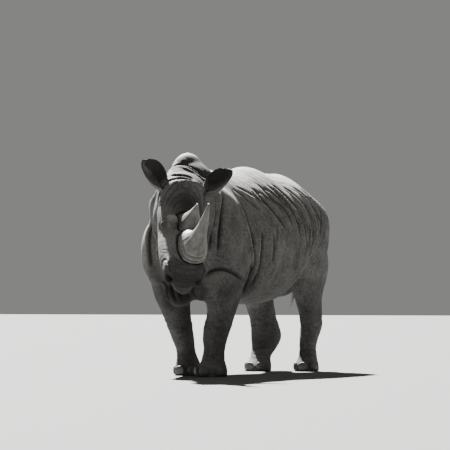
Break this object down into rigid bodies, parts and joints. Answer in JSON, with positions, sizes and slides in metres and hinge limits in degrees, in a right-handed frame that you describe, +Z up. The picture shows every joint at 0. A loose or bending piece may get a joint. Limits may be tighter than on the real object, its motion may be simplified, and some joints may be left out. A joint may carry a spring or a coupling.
{
  "type": "rhinoceros",
  "caption": "Adult white rhinoceros standing still, life size, with two horns and its lowered head turned to its left.",
  "frame": {"origin": "on the floor, below the middle of the animal's bounding box", "axes": "+Z up, the body lies along Y and faces -Y, and its left side is +X"},
  "size_m": [1.3127, 3.2046, 1.8249],
  "materials": {
    "hide": "matte, dusty, wrinkled",
    "ear_hide": "matte",
    "horn_keratin": "fibrous, worn",
    "toenail_keratin": "scuffed",
    "wet_eye": "wet"
  },
  "bodies": {
    "root": {"head": "hide", "neck": "hide", "trunk": "hide", "foreleg_left": "hide", "foreleg_right": "hide", "hindleg_left": "hide", "hindleg_right": "hide", "tail": "hide", "ear_left": "ear_hide", "ear_right": "ear_hide", "horn_front": "horn_keratin", "horn_rear": "horn_keratin", "eye_left": "wet_eye", "eye_right": "wet_eye", "toenail_foreleg_left_1": "toenail_keratin", "toenail_foreleg_left_2": "toenail_keratin", "toenail_foreleg_left_3": "toenail_keratin", "toenail_foreleg_right_1": "toenail_keratin", "toenail_foreleg_right_2": "toenail_keratin", "toenail_foreleg_right_3": "toenail_keratin", "toenail_hindleg_left_1": "toenail_keratin", "toenail_hindleg_left_2": "toenail_keratin", "toenail_hindleg_left_3": "toenail_keratin", "toenail_hindleg_right_1": "toenail_keratin", "toenail_hindleg_right_2": "toenail_keratin", "toenail_hindleg_right_3": "toenail_keratin"}
  },
  "joints": []
}
